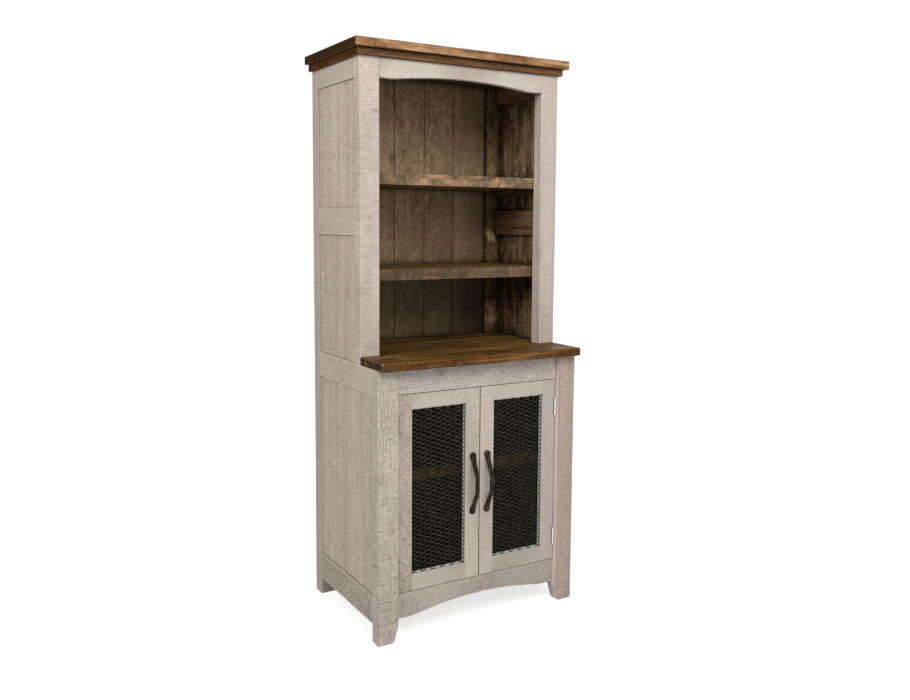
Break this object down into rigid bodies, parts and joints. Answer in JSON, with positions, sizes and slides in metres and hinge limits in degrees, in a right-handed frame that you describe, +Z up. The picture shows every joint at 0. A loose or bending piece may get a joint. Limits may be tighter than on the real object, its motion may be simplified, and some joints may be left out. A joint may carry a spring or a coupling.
{
  "type": "trastero cabinet",
  "caption": "Tall pine cupboard with mesh-guarded glazed doors and bow pulls, a projecting counter and an open shelved hutch above it, with arched rails and a stepped crown.",
  "frame": {"origin": "on the floor, under the middle of the whole outline", "axes": "+X to the right seen from the front, +Y from front to back, +Z up"},
  "size_m": [0.829, 0.564, 1.93],
  "materials": {
    "frame_paint": "worn chalky grey paint over pine",
    "panel_paint": "worn chalky grey paint over pine",
    "door_paint": "worn chalky grey paint over pine",
    "counter_pine": "oiled brown stain",
    "crown_pine": "oiled brown stain",
    "shelf_pine": "rough-sawn, brown stain",
    "back_pine": "dark brown stain",
    "inner_pine": "dark brown stain",
    "back_plywood": "plain plywood",
    "mesh_steel": "dull dark grey",
    "pane_glass": "clear",
    "dark_iron": "waxed black iron",
    "hinge_steel": "zinc plated",
    "catch_housing": "matte"
  },
  "bodies": {
    "cabinet": {"apron_rail": "frame_paint", "back_bottom_rail": "back_pine", "back_middle_rail": "back_pine", "back_top_rail": "back_pine", "base_back_sheet": "back_plywood", "base_bottom_board": "inner_pine", "base_front_post_left": "frame_paint", "base_front_post_right": "frame_paint", "base_shelf": "inner_pine", "base_side_panel_left": "panel_paint", "base_side_panel_right": "panel_paint", "base_top_rail": "frame_paint", "counter_top": "counter_pine", "crown_top_board": "crown_pine", "crown_under_board": "crown_pine", "door_catches": "catch_housing", "hinge_frame_leaves": "hinge_steel", "hutch_arch_rail": "frame_paint", "hutch_back_boards": "back_pine", "hutch_front_post_left": "frame_paint", "hutch_front_post_right": "frame_paint", "hutch_lower_panel_left": "panel_paint", "hutch_lower_panel_right": "panel_paint", "hutch_shelf_lower": "shelf_pine", "hutch_shelf_upper": "shelf_pine", "hutch_upper_panel_left": "panel_paint", "hutch_upper_panel_right": "panel_paint", "rear_post_left": "frame_paint", "rear_post_right": "frame_paint", "shelf_cleats": "inner_pine", "side_bottom_rail_left": "frame_paint", "side_bottom_rail_right": "frame_paint", "side_middle_rail_left": "frame_paint", "side_middle_rail_right": "frame_paint", "side_top_rail_left": "frame_paint", "side_top_rail_right": "frame_paint", "side_upper_rail_left": "frame_paint", "side_upper_rail_right": "frame_paint"},
    "left_door": {"door_hinge_stile_left": "door_paint", "door_meeting_stile_left": "door_paint", "door_top_rail_left": "door_paint", "door_bottom_rail_left": "door_paint", "door_mesh_left": "mesh_steel", "door_glass_left": "pane_glass", "glazing_beads_left": "door_paint", "door_handle_left": "dark_iron", "strike_plate_left": "hinge_steel", "hinge_door_leaves_left": "hinge_steel"},
    "right_door": {"door_hinge_stile_right": "door_paint", "door_meeting_stile_right": "door_paint", "door_top_rail_right": "door_paint", "door_bottom_rail_right": "door_paint", "door_mesh_right": "mesh_steel", "door_glass_right": "pane_glass", "glazing_beads_right": "door_paint", "door_handle_right": "dark_iron", "strike_plate_right": "hinge_steel", "hinge_door_leaves_right": "hinge_steel"}
  },
  "joints": [
    {"name": "right_door_hinge", "type": "hinge", "parent": "cabinet", "child": "right_door", "pos_m": [0.3107, -0.2353, 0.4835], "axis": [0, 0, 1], "range_deg": [0, 110]},
    {"name": "left_door_hinge", "type": "hinge", "parent": "cabinet", "child": "left_door", "pos_m": [-0.3107, -0.2353, 0.4835], "axis": [0, 0, -1], "range_deg": [0, 110]}
  ]
}
